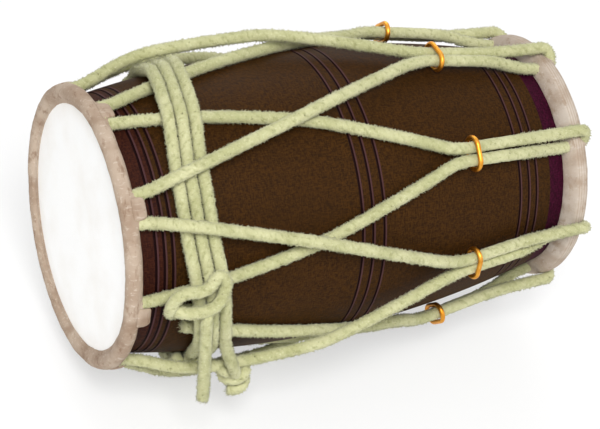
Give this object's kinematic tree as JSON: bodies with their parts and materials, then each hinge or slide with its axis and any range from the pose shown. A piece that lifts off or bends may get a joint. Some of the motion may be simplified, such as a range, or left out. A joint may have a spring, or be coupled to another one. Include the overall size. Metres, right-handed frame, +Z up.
{
  "type": "barrel drum",
  "caption": "Two-headed barrel drum with a turned wooden shell, hide heads on rolled rims, zigzag rope lacing drawn up by sliding brass rings, and a woven waist cord.",
  "frame": {"origin": "middle of the drum lying on its lacing, on the floor plane", "axes": "+X along the drum from the bass head to the treble head, +Z up, -Y towards the viewer of the picture"},
  "size_m": [0.4531, 0.3031, 0.2927],
  "materials": {
    "dark_wood": "dark brown varnish",
    "white_skin": "scraped white hide",
    "tan_hide": "raw hide, rolled",
    "pale_hide": "raw hide, smoothed",
    "hoop_steel": "plain",
    "paste": "matt",
    "cotton_rope": "soft fuzzy cotton",
    "ring_brass": "satin"
  },
  "bodies": {
    "drum": {"shell": "dark_wood", "bass_skin": "white_skin", "treble_skin": "white_skin", "bass_hoop": "hoop_steel", "treble_hoop": "hoop_steel", "bass_collar": "tan_hide", "treble_collar": "pale_hide", "tuning_paste": "paste", "waist_cord": "cotton_rope", "waist_knot": "cotton_rope", "knot_tail": "cotton_rope", "lace_0a": "cotton_rope", "lace_0b": "cotton_rope", "lace_1a": "cotton_rope", "lace_1b": "cotton_rope", "lace_2a": "cotton_rope", "lace_2b": "cotton_rope", "lace_3a": "cotton_rope", "lace_3b": "cotton_rope", "lace_4a": "cotton_rope", "lace_4b": "cotton_rope", "lace_5a": "cotton_rope", "lace_5b": "cotton_rope", "lace_6a": "cotton_rope", "lace_6b": "cotton_rope", "lace_7a": "cotton_rope", "lace_7b": "cotton_rope"},
    "ring_0": {"tuning_ring_0": "ring_brass"},
    "ring_1": {"tuning_ring_1": "ring_brass"},
    "ring_2": {"tuning_ring_2": "ring_brass"},
    "ring_3": {"tuning_ring_3": "ring_brass"},
    "ring_4": {"tuning_ring_4": "ring_brass"},
    "ring_5": {"tuning_ring_5": "ring_brass"},
    "ring_6": {"tuning_ring_6": "ring_brass"},
    "ring_7": {"tuning_ring_7": "ring_brass"}
  },
  "joints": [
    {"name": "ring_0_slide", "type": "slide", "parent": "drum", "child": "ring_0", "axis": [0.9872, -0.1128, -0.1128], "range_m": [0, 0.04]},
    {"name": "ring_1_slide", "type": "slide", "parent": "drum", "child": "ring_1", "axis": [0.9872, 0, -0.1595], "range_m": [0, 0.04]},
    {"name": "ring_2_slide", "type": "slide", "parent": "drum", "child": "ring_2", "axis": [0.9872, 0.1128, -0.1128], "range_m": [0, 0.04]},
    {"name": "ring_3_slide", "type": "slide", "parent": "drum", "child": "ring_3", "axis": [0.9872, 0.1595, 0], "range_m": [0, 0.04]},
    {"name": "ring_4_slide", "type": "slide", "parent": "drum", "child": "ring_4", "axis": [0.9872, 0.1128, 0.1128], "range_m": [0, 0.04]},
    {"name": "ring_5_slide", "type": "slide", "parent": "drum", "child": "ring_5", "axis": [0.9872, 0, 0.1595], "range_m": [0, 0.04]},
    {"name": "ring_6_slide", "type": "slide", "parent": "drum", "child": "ring_6", "axis": [0.9872, -0.1128, 0.1128], "range_m": [0, 0.04]},
    {"name": "ring_7_slide", "type": "slide", "parent": "drum", "child": "ring_7", "axis": [0.9872, -0.1595, 0], "range_m": [0, 0.04]}
  ]
}
